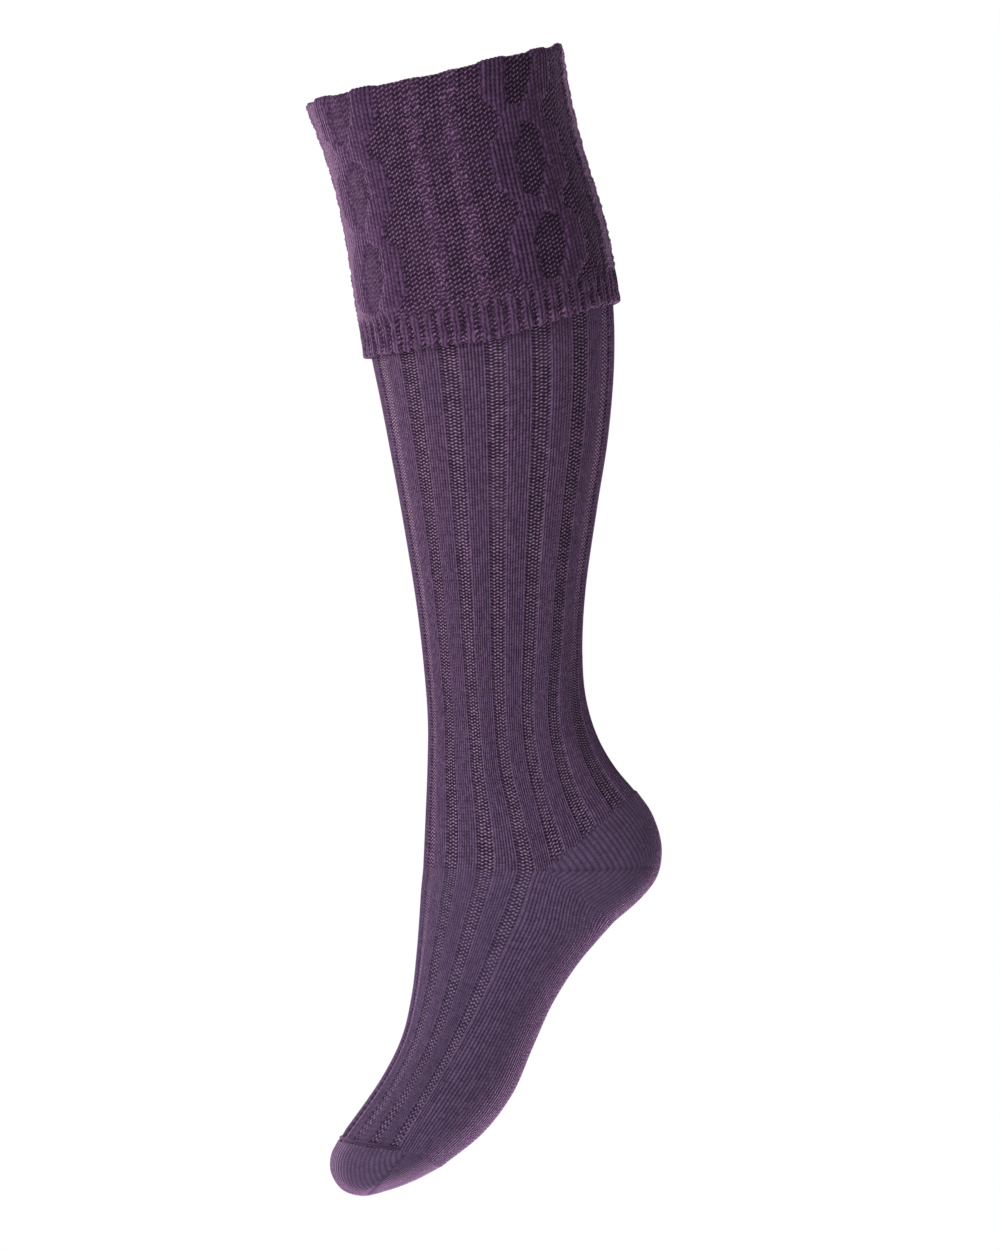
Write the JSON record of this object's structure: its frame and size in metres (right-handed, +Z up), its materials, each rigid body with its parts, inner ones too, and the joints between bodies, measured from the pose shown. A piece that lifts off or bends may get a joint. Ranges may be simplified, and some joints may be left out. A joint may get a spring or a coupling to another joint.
{
  "type": "kilt hose sock",
  "caption": "Knee-length knitted kilt hose sock with a turned-over cable cuff, wide ribbed leg, short-row heel and toe pockets and a plain sole.",
  "frame": {"origin": "middle of the leg opening, at the height of its fold on both sides", "axes": "+Z up along the standing sock towards the opening, -X towards the toes and +X towards the heel and calf, +Y towards the side of the sock that faces away from the picture's camera"},
  "size_m": [0.1844, 0.127, 0.5986],
  "materials": {
    "cuff_knit": "chunky purple wool knit, dull with a light fuzz",
    "welt_knit": "ribbed purple wool knit, dull with a light fuzz",
    "leg_knit": "fine ribbed purple wool knit, dull with a light fuzz",
    "heel_knit": "fine plain purple wool knit, dull with a light fuzz",
    "foot_knit": "fine purple wool knit, ribbed above and plain below",
    "toe_knit": "fine plain purple wool knit, dull with a light fuzz",
    "seam_yarn": "purple wool yarn in a linked seam"
  },
  "bodies": {
    "root": {"turnover_cuff": "cuff_knit", "cuff_welt": "welt_knit", "ribbed_leg": "leg_knit", "heel_pocket": "heel_knit", "foot": "foot_knit", "toe_pocket": "toe_knit", "toe_seam": "seam_yarn"}
  },
  "joints": []
}
